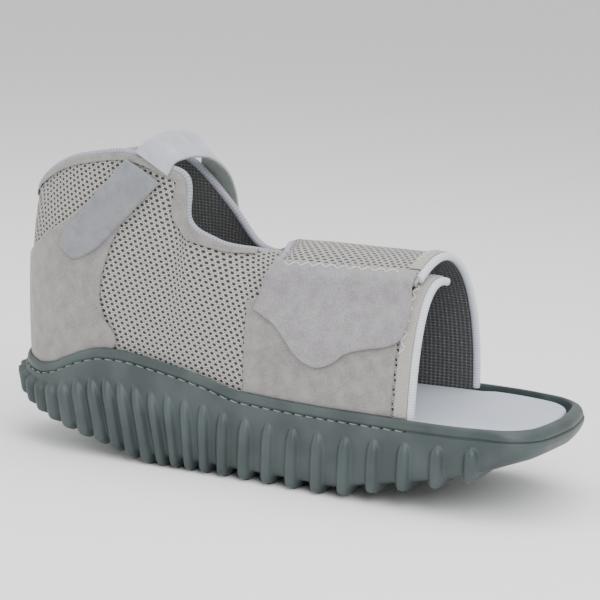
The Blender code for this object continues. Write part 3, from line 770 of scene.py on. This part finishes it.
def sweep(name, centre, across, normal, profile, finishes, chosen=None):
    """A closed band along centre whose section is profile, rows of (across mm, normal mm)."""
    profile = np.array(profile, float)
    a, b = profile[:, 0] * MM, profile[:, 1] * MM
    points = centre[:, None] + across[:, None] * a[None, :, None] + normal[:, None] * b[None, :, None]
    count, ring = points.shape[:2]
    faces = grid_faces(count, ring, loop_rows=True).tolist()
    faces.append(list(range(ring))[::-1])
    faces.append([(count - 1) * ring + k for k in range(ring)])
    run = arc_lengths(centre, 0)
    girth = np.concatenate([[0], np.cumsum(np.hypot(*np.diff(profile, axis=0).T))])
    spots = np.stack(np.broadcast_arrays(run[:, None], girth[None, :]), axis=-1)
    picks = None
    if chosen is not None:
        picks = [chosen[k % ring] for k in range((count - 1) * ring)] + [0, 0]
    ring_faces = np.empty(len(faces), object)
    ring_faces[:] = faces
    return new_piece(name, points, ring_faces, finishes, chosen=picks, spots=spots)


def oval(across_mm, thick_mm, count=16, power=2.4):
    """A rounded section of the given width and thickness, starting at its outer end."""
    turn = np.linspace(0, math.tau, count, endpoint=False)
    side, rise = np.cos(turn), np.sin(turn)
    return np.column_stack([
        across_mm / 2 * np.sign(side) * np.abs(side) ** (2 / power),
        thick_mm / 2 * np.sign(rise) * np.abs(rise) ** (2 / power),
    ])


def build_roll(name, place, up, away_sign, across_mm, thick_mm, out_mm, finish, slot, top=True):
    """Rounded edging over a free edge of the upper, its middle out_mm past the edge."""
    edge = upper_skin(place, up)
    onward, upward, outward = skin_ways(place, up)
    away = upward if top else onward * away_sign
    centre = edge - outward * UPPER_WALL / 2 + away * out_mm * MM
    tangent = unit(np.gradient(centre, axis=0))
    across = unit(away - tangent * np.sum(away * tangent, axis=1, keepdims=True))
    normal = np.cross(tangent, across)
    if np.sum(normal * outward) < 0:
        centre, across, normal = centre[::-1], across[::-1], -normal[::-1]
    return sweep(name, centre, across, normal, oval(across_mm, thick_mm), [finish])


def build_stitches(name, starts, ends, outward, finish, radius_mm=0.3, arch_mm=0.35):
    """Threads from each start to its end, each a small arched capsule."""
    starts, ends, outward = (np.asarray(a, float) for a in (starts, ends, outward))
    way = unit(ends - starts)
    side = unit(np.cross(outward, way))
    lift = np.cross(way, side)
    shares = np.array([0, 0.06, 0.25, 0.5, 0.75, 0.94, 1])
    fat = np.array([0.15, 0.75, 1, 1, 1, 0.75, 0.15]) * radius_mm * MM
    arch = np.array([-0.6, -0.1, 0.7, 1, 0.7, -0.1, -0.6]) * arch_mm * MM
    turn = np.linspace(0, math.tau, THREAD_SIDES, endpoint=False)
    centre = starts[:, None] + (ends - starts)[:, None] * shares[:, None] + lift[:, None] * arch[:, None]
    ring = side[:, None, None] * np.cos(turn)[:, None] + lift[:, None, None] * np.sin(turn)[:, None]
    points = centre[:, :, None] + ring * fat[:, None, None]
    count = len(starts)
    one = grid_faces(len(shares), len(turn), loop_rows=True)
    size = len(shares) * len(turn)
    faces = (one[None] + (np.arange(count) * size)[:, None, None]).reshape(-1, 4).tolist()
    ends_of = [[k * size + j for j in range(THREAD_SIDES)][::-1] for k in range(count)]
    ends_of += [[(k + 1) * size - THREAD_SIDES + j for j in range(THREAD_SIDES)] for k in range(count)]
    all_faces = np.empty(len(faces) + len(ends_of), object)
    all_faces[:] = faces + ends_of
    return new_piece(name, points, all_faces, [finish])


def spaced(points, pitch_mm, dash_mm):
    """Pairs of shares of a line's length, where each dash starts and ends."""
    run = arc_lengths(points, 0)
    first = np.arange(0.5 * pitch_mm, run[-1] - dash_mm, pitch_mm)
    return run, first, first + dash_mm


def line_at(points, run, at):
    return np.column_stack([np.interp(at, run, points[:, k]) for k in range(3)])


def build_welt(thread, painted_slot_shade):
    """The stitches along the step under the rim's band, up to the ball of the foot, and near-black capsules
    painted as the shade in its needle slots.
    """
    run = np.linspace(0, HALF_RUN, 900)
    x = half_outline(run)[:, 0]
    height = rim_height(x) - BAND_HEIGHT + WELT_RISE
    line = np.column_stack([half_outline(run, WELT_INSET + 0 * x), height])[share_of(x) < WELT_END]
    tangent = unit(np.gradient(line, axis=0))
    outward = unit(np.column_stack([-tangent[:, 1], tangent[:, 0], 0 * tangent[:, 0]]))
    starts, ends, ways, slot_starts, slot_ends = [], [], [], [], []
    length, first, last = spaced(line, WELT_PITCH_MM, WELT_DASH_MM)
    for side in (1, -1):
        flip = np.array([1, side, 1])
        starts.append((line_at(line, length, first) + (0, 0, 0.15 * MM)) * flip)
        ends.append((line_at(line, length, last) - (0, 0, 0.35 * MM)) * flip)
        ways.append(line_at(outward, length, first) * flip)
        slot_starts.append((line_at(line, length, last + 0.1) - (0, 0, 0.3 * MM)) * flip)
        slot_ends.append((line_at(line, length, last + 1.3) + (0, 0, 0.1 * MM)) * flip)
    starts, ends, ways, slot_starts, slot_ends = (
        np.concatenate(both) for both in (starts, ends, ways, slot_starts, slot_ends)
    )
    proud = ways * 0.1 * MM
    build_stitches(
        "welt_stitches", starts + proud, ends + proud, ways, thread, radius_mm=0.34, arch_mm=0.2
    )
    # near-black capsules: painted shade in the needle slots after each stitch
    build_stitches(
        "needle_slot_shade", slot_starts, slot_ends, ways, painted_slot_shade, radius_mm=0.5, arch_mm=0.0
    )


def skin_line(place, up, lift_mm):
    """Points over the upper and their outward directions."""
    outward = skin_ways(place, up)[2]
    return upper_skin(place, up) + outward * lift_mm * MM, outward


def build_zigzag(name, first_edge, second_edge, outward, pitch_mm, finish, radius_mm=0.28):
    """A zigzag of threads between two lines."""
    run = arc_lengths(first_edge, 0)
    at = np.arange(0.4 * pitch_mm, run[-1] - 0.6 * pitch_mm, pitch_mm / 2)
    low, high = line_at(first_edge, run, at), line_at(second_edge, run, at)
    odd = (np.arange(len(at)) % 2 == 1)[:, None]
    corners = np.where(odd, high, low)
    ways = line_at(outward, run, at)
    return build_stitches(name, corners[:-1], corners[1:], ways[:-1], finish, radius_mm, 0.2)


def build_overlays(plain, tape, tab, dark_tab):
    """The cloth pieces that lie on the upper."""
    panel, edge, thick = PANEL_THICKNESS, BINDING_THICKNESS, TAB_THICKNESS
    counter = build_cloth("heel_panel", COUNTER, CURVED_GAP, panel, plain, 420, 50)
    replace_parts(counter, "heel_counter")
    loops = build_cloth("loop_cloth", LOOP_PANEL, GAP, panel, plain, 160, 60)
    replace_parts(loops, "loop_panel")
    collar = build_cloth("collar_tape", COLLAR_EDGE, CURVED_GAP, edge, plain, 500, 16, 0.5)
    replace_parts(collar, "collar_binding")
    near = build_cloth("near_tape", NEAR_FACING, GAP, edge, tape, 120, 14, 0.5)
    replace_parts(near, "near_facing")
    flap = build_cloth("flap_tape", FLAP_FACING, GAP, edge, tape, 160, 14, 0.5)
    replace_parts(flap, "flap_facing")
    hook = build_cloth("front_hook_tab", FRONT_TAB, tab_lift, thick, tab, 260, 80, 1.1)
    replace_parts(hook, "front_tab")
    patch = build_cloth("strap_hook_tab", STRAP_TAB, TAB_LIFT, thick, dark_tab, 160, 50, 0.9)
    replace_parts(patch, "strap_tab")


def build_rolls(pale, lavender, tape):
    """The rounded edgings at the toe, round the collar and along the flap."""
    up = np.linspace(0.03, 0.995, 120)
    build_roll("near_roll", NEAR_FRONT + 0 * up, up, -1, *FRONT_ROLL, pale, "edge_binding", top=False)
    up = np.linspace(0.03, 0.985, 160)
    build_roll("flap_roll", FAR_FRONT + 0 * up, up, 1, *FRONT_ROLL, pale, "edge_binding", top=False)
    place = np.linspace(NEAR_THROAT, FAR_THROAT, 700)
    build_roll("collar_roll", place, 1 + 0 * place, 1, *COLLAR_ROLL, lavender, "edge_binding")
    place = np.linspace(FAR_THROAT, FAR_FRONT, 160)
    build_roll("flap_end_roll", place, 1 + 0 * place, 1, *FLAP_ROLL, tape, "edge_binding")
    place = np.linspace(NEAR_FRONT, NEAR_THROAT, 160)
    build_roll("vamp_roll", place, 1 + 0 * place, 1, *FLAP_ROLL, tape, "edge_binding")


def build_strap(outer, inner):
    """The ankle strap: a band with soft edges, darker inside."""
    table = np.array(STRAP)
    at = np.arange(len(table))
    fine = np.linspace(0, len(table) - 1, 200)
    front, rear = (steps(np.column_stack([at, table[:, k:k + 3]]), fine) for k in (0, 3))
    front, rear = (
        np.column_stack([along(p[:, 0]), p[:, 1] * BALL_HALF, UPPER_BASE + p[:, 2] * UPPER_RISE])
        for p in (front, rear)
    )
    centre = (front + rear) / 2
    tangent = unit(np.gradient(centre, axis=0))
    reach = (rear - front) / 2
    normal = unit(np.cross(reach, tangent))
    if normal[0, 2] < 0:
        normal = -normal
    section = oval(2.0, STRAP_THICKNESS / MM, count=40, power=7)
    half = np.linalg.norm(reach, axis=1, keepdims=True) / MM
    middle = centre - normal * STRAP_THICKNESS / 2
    points = (
        middle[:, None]
        + (reach / half / MM)[:, None] * (section[:, 0] * half)[..., None] * MM
        + normal[:, None] * (section[:, 1] * MM)[None, :, None]
    )
    count, ring = points.shape[:2]
    faces = grid_faces(count, ring, loop_rows=True).tolist()
    inner_face = section[:, 1] + np.roll(section[:, 1], -1) <= 0.4
    picks = np.tile(inner_face, count - 1).astype(int).tolist()
    faces.append(list(range(ring)))
    faces.append([(count - 1) * ring + k for k in range(ring)][::-1])
    all_faces = np.empty(len(faces), object)
    all_faces[:] = faces
    spots = np.stack(np.broadcast_arrays(arc_lengths(centre, 0)[:, None], section[None, :, 0] * 10), -1)
    strap = new_piece(
        "ankle_band", points, all_faces, [outer, inner], chosen=picks + [0, 0], spots=spots
    )
    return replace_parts(strap, "ankle_strap")


def build_stitching(pale_thread):
    """Zigzag rows along both front edgings and the front tab's straight edge."""
    up = np.linspace(0.30, 0.96, 200)
    lift = (GAP + BINDING_THICKNESS) / MM + 0.05
    inner, outward = skin_line(-0.7005 + 0 * up, up, lift)
    outer, _ = skin_line(-0.7085 + 0 * up, up, lift)
    build_zigzag("near_stitches", inner, outer, outward, 6.2, pale_thread)
    up = np.linspace(0.12, 0.93, 240)
    inner, outward = skin_line(0.6995 + 0 * up, up, lift)
    outer, _ = skin_line(0.7080 + 0 * up, up, lift)
    build_zigzag("flap_stitches", inner, outer, outward, 6.0, pale_thread)
    share = np.linspace(0.03, 0.97, 160)
    place = -0.506 + (-0.702 + 0.506) * share
    tab_top = (tab_lift(0.76) + TAB_THICKNESS) / MM
    inner, outward = skin_line(place, 0.752 + 0 * place, tab_top)
    outer, _ = skin_line(place, 0.728 + 0 * place, tab_top)
    build_zigzag("tab_stitches", inner, outer, outward, 6.0, pale_thread)


def camera_and_light():
    """The photograph's view, a pale floor and soft studio light."""
    turn, tilt, roll = (math.radians(a) for a in (23.7, 10.4, 2.6))
    back = Vector((math.sin(turn) * math.cos(tilt), -math.cos(turn) * math.cos(tilt), math.sin(tilt)))
    right = Vector((math.cos(turn), math.sin(turn), 0))
    up = back.cross(right)
    distance, right_by, up_by, toe_by = 1150 * MM, 1.57 * MM, 80.02 * MM, 2.25 * MM
    spot = right * right_by + up * up_by + back * distance + Vector((toe_by, 0, 0))
    rolled_right = right * math.cos(roll) + up * math.sin(roll)
    rolled_up = up * math.cos(roll) - right * math.sin(roll)
    camera = bpy.data.objects.new("camera", bpy.data.cameras.new("camera"))
    camera.data.sensor_width = SENSOR_MM
    camera.data.lens = SENSOR_MM * FOCAL_PIXELS / PICTURE_PIXELS
    camera.data.clip_start = 0.05
    axes = Matrix((rolled_right, rolled_up, back)).transposed().to_4x4()
    camera.matrix_world = Matrix.Translation(spot) @ axes
    bpy.context.scene.collection.objects.link(camera)
    bpy.context.scene.camera = camera
    for name, place, size, power in (
        ("key", (0.75, -0.75, 0.85), 0.9, 14),
        ("top", (0.05, 0.10, 1.20), 1.2, 12),
        ("left", (-0.95, -0.60, 0.55), 0.9, 5),
    ):
        lamp = bpy.data.lights.new(name, "AREA")
        lamp.size = size
        lamp.energy = power
        light = bpy.data.objects.new(name, lamp)
        light.location = place
        light.rotation_euler = (Vector((0, 0, 0.06)) - Vector(place)).to_track_quat("-Z", "Y").to_euler()
        bpy.context.scene.collection.objects.link(light)
    world = bpy.data.worlds.new("studio")
    world.use_nodes = True
    world.node_tree.nodes["Background"].inputs["Color"].default_value = (1, 1, 1, 1)
    world.node_tree.nodes["Background"].inputs["Strength"].default_value = 0.9
    bpy.context.scene.world = world
    floor_mesh = bpy.data.meshes.new("floor")
    reach = 6.0
    corners = [(-reach, -reach, 0), (reach, -reach, 0), (reach, reach, 0), (-reach, reach, 0)]
    floor_mesh.from_pydata(corners, [], [(0, 1, 2, 3)])
    floor = bpy.data.objects.new("floor", floor_mesh)
    pale = Finish("floor_white", roughness=0.8)
    pale.colour((0.92, 0.92, 0.92, 1))
    floor_mesh.materials.append(pale.material)
    bpy.context.scene.collection.objects.link(floor)


def main():
    rubber = rubber_finish()
    knit = knit_finish("open_knit", 3.3, 2.2, paint(198, 196, 190), paint(128, 126, 122), paint(52, 52, 52))
    lining = lining_finish()
    plain = brushed_finish("brushed_grey", paint(142, 140, 138), paint(108, 106, 104))
    tab = brushed_finish("tab_grey", paint(146, 143, 146), paint(118, 115, 118), nap_mm=0.7, depth=0.2)
    dark_tab = brushed_finish("strap_tab_grey", paint(128, 131, 137), paint(104, 107, 113), nap_mm=0.5)
    tape = tape_finish("grey_tape", paint(168, 166, 158), paint(130, 128, 122))
    pale = tape_finish("pale_edging", paint(208, 212, 220), paint(178, 182, 190), rib_mm=1.3)
    lavender = tape_finish("lavender_edging", paint(160, 162, 172), paint(124, 126, 136), rib_mm=1.6)
    nap = {"nap_mm": 0.4, "depth": 0.12}
    strap_outer = brushed_finish("strap_outer", paint(172, 175, 186), paint(146, 149, 160), **nap)
    strap_inner = brushed_finish("strap_inner", paint(140, 150, 145), paint(112, 122, 117), **nap)
    pale_thread = plain_finish("pale_thread", paint(214, 214, 210), 0.7)
    welt_thread = plain_finish("welt_thread", paint(122, 134, 130), 0.6)
    # near-black colour painted as the shade in the needle slots
    painted_slot_shade = plain_finish("slot_shadow", paint(16, 20, 20), 0.9)
    build_sole(rubber)
    build_footbed(footbed_finish())
    build_shell(knit, lining)
    build_overlays(plain, tape, tab, dark_tab)
    build_rolls(pale, lavender, tape)
    build_strap(strap_outer, strap_inner)
    build_welt(welt_thread, painted_slot_shade)
    build_stitching(pale_thread)
    camera_and_light()


main()
